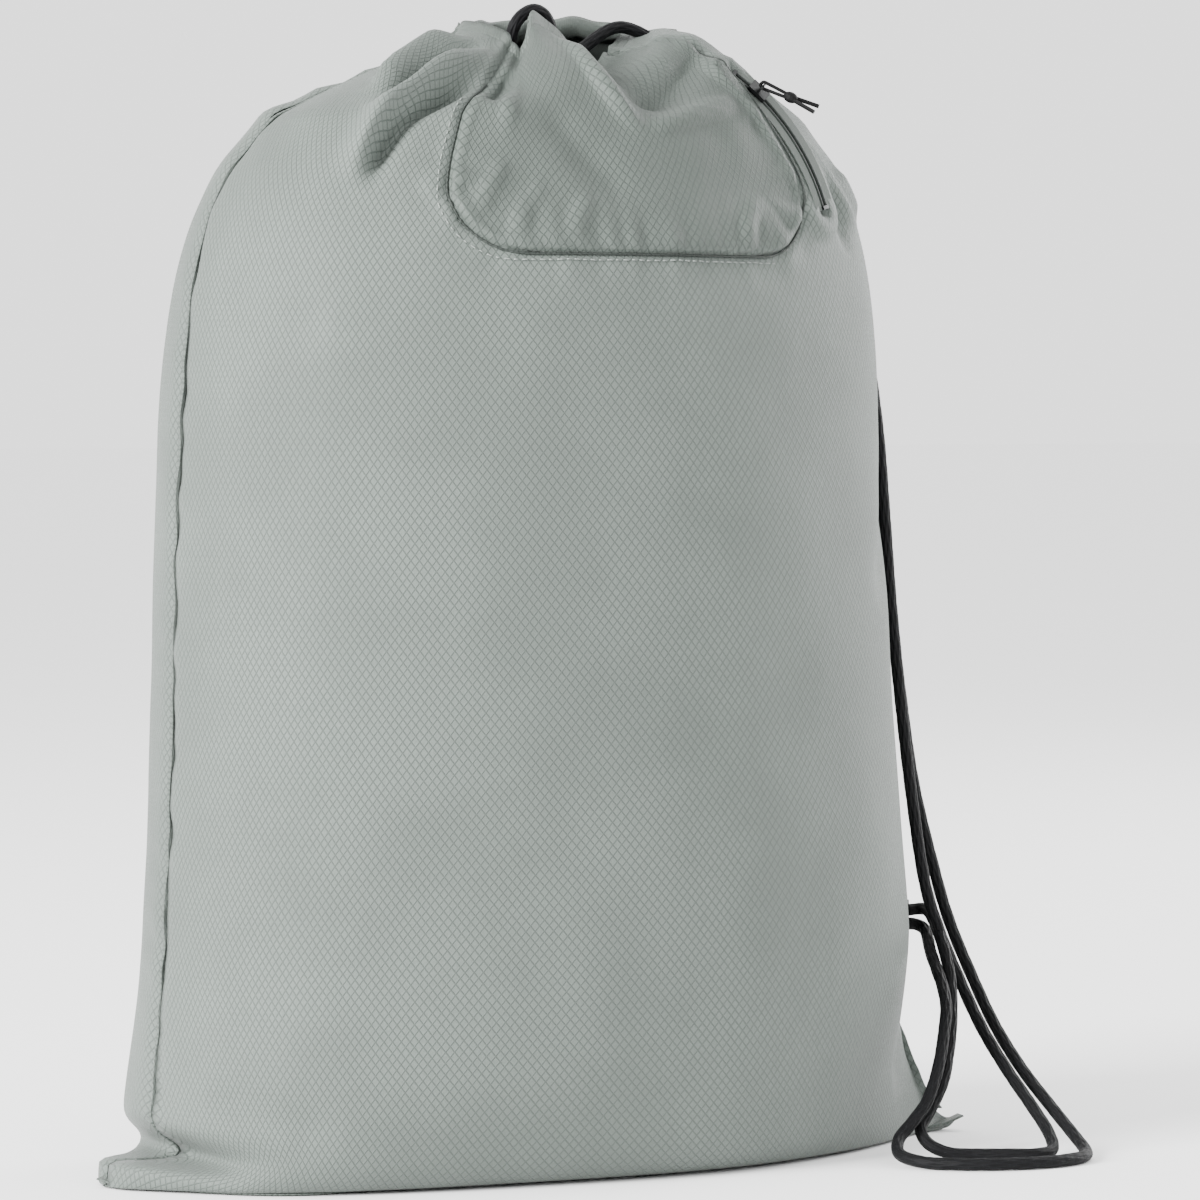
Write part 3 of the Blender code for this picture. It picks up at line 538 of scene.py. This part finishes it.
# ---------------------------------------------------------------- materials
class Surface:
    """A Principled material whose nodes are added one call at a time."""

    def __init__(self, name, roughness=0.6, metallic=0.0, sheen=0.0, sheen_roughness=0.4, gloss=0.22):
        self.material = bpy.data.materials.new(name)
        self.material.use_nodes = True
        self.nodes = self.material.node_tree.nodes
        self.links = self.material.node_tree.links
        self.shader = self.nodes["Principled BSDF"]
        self.shader.inputs["Roughness"].default_value = roughness
        self.shader.inputs["Metallic"].default_value = metallic
        self.shader.inputs["Sheen Weight"].default_value = sheen
        self.shader.inputs["Sheen Roughness"].default_value = sheen_roughness
        self.shader.inputs["Specular IOR Level"].default_value = gloss

    def put(self, socket, value):
        if isinstance(value, bpy.types.NodeSocket):
            self.links.new(value, socket)
        else:
            socket.default_value = value

    def math(self, operation, *values):
        node = self.nodes.new("ShaderNodeMath")
        node.operation = operation
        for socket, value in zip(node.inputs, values):
            self.put(socket, value)
        return node.outputs[0]

    def coordinates(self, kind="Object"):
        if kind == "cloth":
            node = self.nodes.new("ShaderNodeUVMap")
            node.uv_map = "cloth"
            return node.outputs[0]
        return self.nodes.new("ShaderNodeTexCoord").outputs[kind]

    def split(self, vector):
        node = self.nodes.new("ShaderNodeSeparateXYZ")
        self.put(node.inputs[0], vector)
        return node.outputs

    def noise(self, vector, scale, detail=2.0, roughness=0.5):
        node = self.nodes.new("ShaderNodeTexNoise")
        node.inputs["Scale"].default_value = scale
        node.inputs["Detail"].default_value = detail
        node.inputs["Roughness"].default_value = roughness
        self.put(node.inputs["Vector"], vector)
        return node.outputs["Fac"]

    def span(self, value, low, high, to_low=0.0, to_high=1.0):
        node = self.nodes.new("ShaderNodeMapRange")
        node.interpolation_type = "SMOOTHSTEP"
        for socket, number in zip(node.inputs, (value, low, high, to_low, to_high)):
            self.put(socket, number)
        return node.outputs[0]

    def blend(self, factor, first, second):
        node = self.nodes.new("ShaderNodeMix")
        node.data_type = "RGBA"
        self.put(node.inputs["Factor"], factor)
        for key, colour in (("A", first), ("B", second)):
            socket = [s for s in node.inputs if s.name == key and s.type == "RGBA"][0]
            self.put(socket, (*colour, 1.0) if isinstance(colour, tuple) else colour)
        return [s for s in node.outputs if s.type == "RGBA"][0]

    def colour(self, value):
        self.put(self.shader.inputs["Base Color"], value)

    def rough(self, value):
        self.put(self.shader.inputs["Roughness"], value)

    def bump(self, height, distance, strength=1.0):
        node = self.nodes.new("ShaderNodeBump")
        node.inputs["Distance"].default_value = distance
        node.inputs["Strength"].default_value = strength
        self.put(node.inputs["Height"], height)
        self.put(self.shader.inputs["Normal"], node.outputs[0])

    def stripes(self, value, pitch, width):
        """1 on lines of that width, a pitch apart, and 0 between them."""
        part = self.math("PINGPONG", self.math("DIVIDE", value, pitch), 0.5)
        edge = width / pitch / 2
        return self.span(part, edge * 0.55, edge * 1.45, 1.0, 0.0)


RIP_ANGLE = math.radians(54.4)   # the ripstop's lines, from level
RIP_PITCH = 0.0027
RIP_WIDTH = 0.00050
WEAVE_PITCH = 0.00045            # of the plain weave between the lines


def ripstop(name, body, line, sheen=0.08):
    """Coated ripstop: a fine plain weave with a diamond grid of thicker yarns."""
    s = Surface(name, sheen=sheen, sheen_roughness=0.35)
    u, v = s.split(s.coordinates("cloth"))[:2]
    sine, cosine = math.sin(RIP_ANGLE), math.cos(RIP_ANGLE)
    rise = s.math("MULTIPLY", v, cosine)
    shift = s.math("MULTIPLY", u, sine)
    one, two = s.math("ADD", rise, shift), s.math("SUBTRACT", rise, shift)
    grid = s.math("MAXIMUM", s.stripes(one, RIP_PITCH, RIP_WIDTH), s.stripes(two, RIP_PITCH, RIP_WIDTH))
    cells = s.coordinates()
    weave = s.math("MULTIPLY", s.math("SINE", s.math("MULTIPLY", one, 2 * math.pi / WEAVE_PITCH)),
                   s.math("SINE", s.math("MULTIPLY", two, 2 * math.pi / WEAVE_PITCH)))
    broad = s.noise(cells, 14.0, 3.0)
    fine = s.noise(cells, 900.0, 2.0, 0.7)
    darker = tuple(0.90 * c for c in body)
    lighter = tuple(1.08 * c for c in body)
    ground = s.blend(s.span(broad, 0.35, 0.65), darker, lighter)
    ground = s.blend(s.span(fine, 0.3, 0.7, 0.0, 0.35), ground, tuple(0.72 * c for c in body))
    s.colour(s.blend(s.math("MULTIPLY", grid, 0.8), ground, line))
    s.rough(s.math("SUBTRACT", s.span(fine, 0.3, 0.7, 0.48, 0.60), s.math("MULTIPLY", grid, 0.14)))
    height = s.math("ADD", s.math("MULTIPLY", grid, 0.8), s.math("MULTIPLY", weave, 0.10))
    soft = s.noise(cells, 190.0, 3.0)
    s.bump(s.math("ADD", height, s.math("MULTIPLY", soft, 0.7)), 0.00022)
    return s.material


def tape(name, body, rib):
    """Woven webbing or tape: fine ribs with a thread-like mottle."""
    s = Surface(name, roughness=0.72, sheen=0.1)
    where = s.coordinates()
    x, y, z = s.split(where)
    slope = s.math("ADD", z, s.math("MULTIPLY", y, 0.35))
    ribs = s.math("SINE", s.math("MULTIPLY", slope, 2 * math.pi / rib))
    cross = s.math("SINE", s.math("MULTIPLY", s.math("ADD", x, y), 2 * math.pi / (1.6 * rib)))
    pattern = s.math("ADD", s.math("MULTIPLY", ribs, 0.35), s.math("MULTIPLY", cross, 0.2))
    mottle = s.noise(where, 700.0, 3.0, 0.6)
    level = s.math("ADD", s.math("MULTIPLY", pattern, 0.5), mottle)
    s.colour(s.blend(s.span(level, 0.1, 0.9), tuple(0.66 * c for c in body), tuple(1.15 * c for c in body)))
    s.rough(s.span(mottle, 0.3, 0.7, 0.62, 0.82))
    s.bump(level, 0.0002)
    return s.material


def braided(name, dark, fleck_and_crest_highlight):
    """Braided cord: crossing strands with scattered paler filaments, and a faint painted highlight on every
    strand's crest.
    """
    s = Surface(name, roughness=0.7, sheen=0.02, gloss=0.15)
    u, v = s.split(s.coordinates("cloth"))[:2]
    around = s.math("DIVIDE", u, CORD_RADIUS)
    run = s.math("MULTIPLY", v, 2 * math.pi / BRAID_TURN)
    strands = s.math("MULTIPLY", around, float(BRAID_STRANDS))
    one = s.math("COSINE", s.math("ADD", strands, run))
    two = s.math("COSINE", s.math("SUBTRACT", strands, run))
    level = s.math("MAXIMUM", one, two)
    where = s.coordinates()
    speck = s.span(s.noise(where, 1500.0, 2.0, 0.7), 0.56, 0.70)
    wear = s.noise(where, 120.0, 2.0)
    # the paler colour goes only on the strands' crests: paler filaments where the speck is, and a faint
    # painted highlight on every crest
    lift = s.math("MULTIPLY", s.span(level, 0.0, 1.0), s.span(speck, 0.0, 1.0, 0.18, 1.0))
    ground = s.blend(s.span(wear, 0.3, 0.7), dark, tuple(1.5 * c for c in dark))
    s.colour(s.blend(s.math("MULTIPLY", lift, 0.55), ground, fleck_and_crest_highlight))
    s.rough(s.span(speck, 0.0, 1.0, 0.66, 0.48))
    s.bump(s.math("ADD", level, s.math("MULTIPLY", speck, 0.4)), 0.00012)
    return s.material


def plain_yarn(name, body, rough=0.6):
    """Sewing thread or thin cord: a tight twist with a little fuzz."""
    s = Surface(name, roughness=rough, gloss=0.15)
    where = s.coordinates()
    twist = s.noise(where, 1800.0, 2.0, 0.6)
    s.colour(s.blend(s.span(twist, 0.35, 0.65), tuple(0.7 * c for c in body), tuple(1.25 * c for c in body)))
    s.rough(s.span(twist, 0.3, 0.7, rough - 0.08, rough + 0.1))
    s.bump(twist, 0.0001)
    return s.material


def metal(name, body, rough=0.34):
    """Painted zinc: fine speckle, with roughness worn smoother in patches."""
    s = Surface(name, roughness=rough, metallic=0.85)
    where = s.coordinates()
    speckle = s.noise(where, 2500.0, 2.0, 0.6)
    wear = s.noise(where, 260.0, 3.0)
    s.colour(s.blend(s.span(wear, 0.4, 0.7), body, tuple(1.6 * c for c in body)))
    s.rough(s.span(wear, 0.3, 0.7, rough + 0.1, rough - 0.06))
    s.bump(speckle, 0.00003)
    return s.material


def floor_paint(name, body):
    """Matt paint with a mottle too faint to draw the eye."""
    s = Surface(name, roughness=0.9)
    where = s.coordinates()
    mottle = s.noise(where, 3.0, 3.0)
    s.colour(s.blend(s.span(mottle, 0.3, 0.7), tuple(0.995 * c for c in body), body))
    return s.material


CLOTH = ripstop("ripstop", (0.116, 0.135, 0.122), (0.062, 0.076, 0.067))
# a near-black copy of the ripstop for the thin tube along the pocket's seam: painted seam shadow
EDGE_SHADE = ripstop("ripstop_painted_seam_shadow", (0.036, 0.043, 0.038), (0.024, 0.029, 0.026), sheen=0.04)
POCKET = ripstop("ripstop_pocket", (0.082, 0.098, 0.087), (0.043, 0.054, 0.047))
HEM = ripstop("ripstop_hem", (0.100, 0.117, 0.105), (0.056, 0.068, 0.060))
WEB = tape("webbing", (0.092, 0.107, 0.096), 0.0009)
TAPE = tape("zip_tape", (0.074, 0.088, 0.078), 0.0006)
THREAD = plain_yarn("thread", (0.200, 0.222, 0.206))
CORD = braided("cord", (0.0010, 0.0010, 0.0013), (0.012, 0.013, 0.016))
KNOT_CORD = plain_yarn("pull_cord", (0.0012, 0.0012, 0.0014))
COIL = plain_yarn("zip_coil", (0.022, 0.027, 0.024), 0.5)
SLIDER = metal("slider_metal", (0.012, 0.013, 0.013))


# ---------------------------------------------------------------- the camera
def aim_camera():
    """A long lens at two thirds of the height of the bag, aimed slightly down."""
    data = bpy.data.cameras.new("camera")
    data.lens = CAMERA_LENS
    data.sensor_width = 36.0
    camera = bpy.data.objects.new("camera", data)
    back = Vector((math.sin(CAMERA_AZIMUTH), -math.cos(CAMERA_AZIMUTH), 0))
    right = Vector((math.cos(CAMERA_AZIMUTH), math.sin(CAMERA_AZIMUTH), 0))
    place = back * CAMERA_DISTANCE + right * CAMERA_SIDESTEP
    camera.location = (place.x, place.y, CAMERA_HEIGHT)
    camera.rotation_euler = (math.pi / 2 - CAMERA_PITCH, 0, CAMERA_AZIMUTH)
    bpy.context.scene.collection.objects.link(camera)
    bpy.context.scene.camera = camera


aim_camera()


# ---------------------------------------------------------------- the strap cords
def cord_piece(name, route, node):
    """A braided cord along a route, in the place of a CAD node."""
    path = even_path(route, CORD_STEP)
    obj = tube_object(name, path, CORD_SKIN, CORD, CORD_SIDES, braid)
    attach(obj, "bag")
    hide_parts(node)
    return obj, path


def strap(name, route, node):
    """One strand of the strap, built as a cord on the bag; gives back its path."""
    obj, path = cord_piece(name, route, node)
    return path


STRAPS = [strap("strap_outer", STRAP_OUTER, "strap_cord_outer"),
          strap("strap_inner", STRAP_INNER, "strap_cord_inner")]


# ---------------------------------------------------------------- the cloth
def build_cloth(name, side, node):
    """One side of the bag, with the cords pressed into it."""
    points, flat, across, up = cloth_grid(side)
    normal = normals_of(points, side)
    points = press_under(points, normal, STRAPS, CORD_RADIUS)
    obj = grid_object(name, points, flat, CLOTH, flip=side > 0)
    thicken(obj, CLOTH_THICK)
    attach(obj, "bag")
    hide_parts(node)
    return obj, points, flat, across, up


FRONT = build_cloth("front_cloth", -1, "front_panel")
BACK = build_cloth("back_cloth", 1, "back_panel")


def on_cloth(sheet, across, up, lift=0.0):
    """Points on a finished cloth at places across and up, lifted off it."""
    points, flat, across_line, up_line = sheet[1:]
    side = -1 if sheet is FRONT else 1
    normal = normals_of(points, side)
    column = np.interp(across, across_line, np.arange(len(across_line)))
    row = np.interp(up, up_line, np.arange(len(up_line)))
    low_c = np.minimum(column.astype(int), len(across_line) - 2)
    low_r = np.minimum(row.astype(int), len(up_line) - 2)
    part_c, part_r = (column - low_c)[..., None], (row - low_r)[..., None]

    def read(grid):
        lower = grid[low_r, low_c] * (1 - part_c) + grid[low_r, low_c + 1] * part_c
        upper = grid[low_r + 1, low_c] * (1 - part_c) + grid[low_r + 1, low_c + 1] * part_c
        return lower * (1 - part_r) + upper * part_r

    direction = read(normal)
    direction /= np.linalg.norm(direction, axis=-1, keepdims=True)
    return read(points) + direction * np.asarray(lift)[..., None], read(flat)


# ---------------------------------------------------------------- seams and hems
def seam_points(low, high, right):
    """The line where front and back meet, from up = low to up = high."""
    up = np.linspace(low, high, 900)
    across = np.full_like(up, 1.0 if right else -1.0)
    front, _ = on_cloth(FRONT, across, up)
    back, _ = on_cloth(BACK, across, up)
    return (front + back) / 2


def side_welt(name, right, node):
    """The overlocked seam allowance: a narrow ruffled strip that stands out."""
    path = even_path(seam_points(3.2, LAST_SECTION + 1.6, right), 0.0016)
    out = np.array([1.0 if right else -1.0, -0.25, 0.0])
    height = path[:, 2]
    ruffle = cloud(path * (0, 0, 1.0), 0.012, 21 if right else 22)
    low = 1 - smooth(0.10, 0.16, height)
    width = 0.0011 + (0.0030 if right else 0.0004) * low
    sway = np.array([0.0, 1.0, 0.0]) * ((0.0008 + (0.0040 if right else 0.0008) * low) * ruffle)[:, None]
    rows = []
    for part in np.linspace(-0.6, 1.0, 7):
        rows.append(path + out * (width * part)[:, None] + sway * max(part, 0))
    grid = np.stack(rows, axis=1)
    run = np.concatenate([[0], np.cumsum(np.linalg.norm(np.diff(path, axis=0), axis=1))])
    flat = np.stack(np.broadcast_arrays(np.linspace(0, 0.006, 7)[None, :], run[:, None]), axis=-1)
    obj = thicken(grid_object(name, grid, flat, HEM), 0.0012, 0.0)
    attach(obj, "bag")
    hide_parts(node)


side_welt("side_welt_left", False, "side_seam_left")
side_welt("side_welt_right", True, "side_seam_right")


def ribbon(name, path, outward, widths, thickness, material, node):
    """A flat strip along a path, spread along outward by each of the widths."""
    outward = outward / np.linalg.norm(outward, axis=-1, keepdims=True)
    grid = np.stack([path + outward * w for w in widths], axis=1)
    run = np.concatenate([[0], np.cumsum(np.linalg.norm(np.diff(path, axis=0), axis=1))])
    flat = np.stack(np.broadcast_arrays(np.asarray(widths)[None, :], run[:, None]), axis=-1)
    obj = thicken(grid_object(name, grid, flat, material), thickness, 0.0)
    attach(obj, "bag")
    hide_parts(node)


def build_bottom_hem():
    """The bottom seam's allowance, flattened on the floor, that shows at both corners."""
    line = ((-0.2105, 0.0030, 0.0040), (-0.2030, -0.0050, 0.0016), (-0.1905, -0.0176, 0.0008),
            (-0.1760, -0.0380, 0.0008), (-0.1560, -0.0560, 0.0008), (-0.1300, -0.0600, 0.0008),
            (-0.0900, -0.0400, 0.0008), (-0.0400, -0.0120, 0.0008), (0.0400, 0.0, 0.0008),
            (0.1300, 0.0, 0.0008), (0.1750, -0.0010, 0.0010), (0.1960, -0.0040, 0.0035),
            (0.2060, -0.0060, 0.0070))
    path = even_path(line, 0.0025)
    tangent = np.gradient(path, axis=0)
    sideways = np.cross(tangent, (0, 0, 1.0))
    ribbon("bottom_hem", path, sideways, np.linspace(-0.0035, 0.0040, 5), 0.0007, HEM, "bottom_seam")


build_bottom_hem()


# the hem's cross section over the rim, as (up, lift off the cloth)
HEM_SECTION = (
    (13.84, -0.0003), (13.88, 0.0003), (13.91, 0.0008), (13.94, 0.0011), (13.97, 0.0012),
    (14.0, 0.0008), (14.0, -0.0010), (13.9, -0.0018), (13.7, -0.0022), (13.5, -0.0018),
)
HEM_TOP_ROWS = slice(5, 7)
HEM_TOP_RISE = 0.0018
HEM_END = 0.99                 # how near the hem comes to each side seam


def channel(name, sheet, node):
    """The hem round the mouth: the cloth turned over the drawcord."""
    across = np.linspace(-HEM_END, HEM_END, 260)
    rows = []
    flats = []
    for up, lift in HEM_SECTION:
        points, flat = on_cloth(sheet, across, np.full_like(across, up), np.full_like(across, lift))
        rows.append(points)
        flats.append(flat)
    grid = np.stack(rows, axis=0)
    grid[HEM_TOP_ROWS, :, 2] += HEM_TOP_RISE
    obj = thicken(grid_object(name, grid, np.stack(flats, axis=0), HEM, flip=sheet is BACK), 0.0005)
    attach(obj, "bag")
    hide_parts(node)


channel("front_hem", FRONT, "front_channel")
channel("back_hem", BACK, "back_channel")


STITCH_LENGTH = 0.0026
STITCH_GAP = 0.0012
STITCH_STEP = 0.0004
STITCH_SIDES = 5
THREAD_RADIUS = 0.00032


def stitches(name, line):
    """A row of short thread stitches along a line of points."""
    build = bmesh.new()
    path = even_path(line, STITCH_STEP)
    run = np.arange(len(path)) * STITCH_STEP
    begin = 0.0
    while begin + STITCH_LENGTH < run[-1]:
        inside = path[(run >= begin) & (run <= begin + STITCH_LENGTH)]
        points, _ = tube_points(inside[::2] if len(inside) > 4 else inside, THREAD_RADIUS, STITCH_SIDES)
        loops = [[build.verts.new(p) for p in ring] for ring in points]
        for first, second in zip(loops[:-1], loops[1:]):
            for k in range(STITCH_SIDES):
                after = (k + 1) % STITCH_SIDES
                build.faces.new((first[k], first[after], second[after], second[k]))
        build.faces.new(loops[0][::-1])
        build.faces.new(loops[-1])
        begin += STITCH_LENGTH + STITCH_GAP
    bmesh.ops.recalc_face_normals(build, faces=build.faces)
    mesh = bpy.data.meshes.new(name)
    build.to_mesh(mesh)
    build.free()
    obj = add_object(name, mesh, THREAD)
    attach(obj, "bag")


# ---------------------------------------------------------------- the stow pocket
def build_pocket():
    """The pocket: a second layer of cloth whose edge is turned in and stitched; a thin dark tube along its
    seam is painted seam shadow.
    """
    columns, rows = 190, 90
    across, up = np.meshgrid(np.linspace(-1, 1, columns), np.linspace(0, 1, rows) ** 0.85)
    # a square is pressed into the rounded outline
    low = np.clip(up * (POCKET_HIGH - POCKET_LOW) / POCKET_CORNER_UP, 0, 1)
    width = POCKET_HALF - POCKET_CORNER_ACROSS * (1 - np.sqrt(1 - (1 - low) ** 2))
    place = (POCKET_CENTRE + across * width, POCKET_LOW + up * (POCKET_HIGH - POCKET_LOW))
    points, flat = on_cloth(FRONT, *place)
    seam, _ = on_cloth(FRONT, *pocket_edge())
    distance, along, _ = nearest_on(points, seam)
    lift = 0.0004 + 0.0016 * smooth(0.0003, 0.0040, distance)
    pucker = ripple(along, 0.0080, 8) * np.exp(-(distance / 0.017) ** 2) * smooth(0.0, 0.005, distance)
    lift += 0.0014 * pucker * smooth(13.0, 12.0, place[1])
    lift *= smooth(13.9, 12.9, place[1])
    zip_gap, _, _ = nearest_on(points, np.array(ZIP_LINE), ZIP_STEP)
    lift = np.where(zip_gap < 0.0110, np.minimum(lift, 0.0003), lift)
    points, flat = on_cloth(FRONT, *place, lift + 0.0002)
    obj = thicken(grid_object("pocket_cloth", points, flat + (0.0013, 0.0021), POCKET), 0.0003)
    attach(obj, "bag")
    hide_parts("stow_pocket")
    across, up = pocket_edge(0.022)
    line, _ = on_cloth(FRONT, across[30:-95], up[30:-95], np.full(len(across) - 125, 0.0004))
    stitches("pocket_stitches", line)
    # a thin dark tube just outside the pocket's seam: painted seam shadow
    across, up = pocket_edge(0.002)
    line, _ = on_cloth(FRONT, across[20:-20], up[20:-20], np.full(len(across) - 40, 0.0005))
    path = even_path(line, 0.0012)
    edge = tube_object("pocket_painted_seam_shadow", path, 0.00055, EDGE_SHADE, 8)
    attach(edge, "bag")


build_pocket()


# ---------------------------------------------------------------- the drawcord at the mouth
def build_drawcord():
    """The stretch of drawcord that shows: an arch behind the peak, then along the
    channel to the right shoulder, where it turns into the strap."""
    arch = ((-0.0290, -0.0200, 0.4700), (-0.0300, -0.0210, 0.4760), (-0.0292, -0.0215, 0.4830),
            (-0.0255, -0.0215, 0.4888), (-0.0190, -0.0210, 0.4920), (-0.0130, -0.0200, 0.4900),
            (-0.0095, -0.0195, 0.4840), (-0.0070, -0.0190, 0.4775), (-0.0030, -0.0180, 0.4735),
            (0.0020, -0.0170, 0.4735), (0.0080, -0.0155, 0.4768), (0.0150, -0.0140, 0.4812),
            (0.0220, -0.0125, 0.4850), (0.0290, -0.0118, 0.4866), (0.0370, -0.0122, 0.4848),
            (0.0450, -0.0130, 0.4810), (0.0530, -0.0130, 0.4795))
    cord_piece("draw_cord", arch, "drawcord")


build_drawcord()


# ---------------------------------------------------------------- carried-over pieces
FINISHES = {
    "cord_tab_right": WEB,
    "zip_tape_pocket_side": TAPE, "zip_tape_panel_side": TAPE,
    "zip_coil_pocket_side": COIL, "zip_coil_panel_side": COIL,
    "zip_top_stop": SLIDER, "zip_bottom_stop": SLIDER,
    "zip_slider": SLIDER, "zip_pull": KNOT_CORD,
}
for node_name, finish in FINISHES.items():
    node = bpy.data.objects[node_name]
    node.data.materials.clear()
    node.data.materials.append(finish)


# ---------------------------------------------------------------- floor and light
def area_light(name, place, aim, size, power):
    """A rectangular soft light at place, turned to aim."""
    data = bpy.data.lights.new(name, "AREA")
    data.shape = "RECTANGLE"
    data.size, data.size_y = size
    data.energy = power
    light = bpy.data.objects.new(name, data)
    light.location = place
    light.rotation_euler = (Vector(aim) - Vector(place)).to_track_quat("-Z", "Y").to_euler()
    bpy.context.scene.collection.objects.link(light)


def build_stage():
    """A wide pale floor under white surroundings, a key light at the left and a
    weak rim light at the right."""
    reach = 30.0
    floor = grid_object("floor", np.array([[(-reach, -reach, 0), (reach, -reach, 0)],
                                           [(-reach, reach, 0), (reach, reach, 0)]], float),
                        None, floor_paint("floor", (0.97, 0.97, 0.97)))
    world = bpy.data.worlds.new("studio")
    world.use_nodes = True
    background = world.node_tree.nodes["Background"]
    background.inputs["Color"].default_value = (1, 1, 1, 1)
    background.inputs["Strength"].default_value = 2.0
    bpy.context.scene.world = world
    area_light("key", (-3.3, -0.7, 1.5), (0, 0, 0.25), (1.2, 2.2), 470)
    area_light("rim", (2.9, 0.6, 1.2), (0.1, 0, 0.25), (0.8, 1.8), 80)


build_stage()
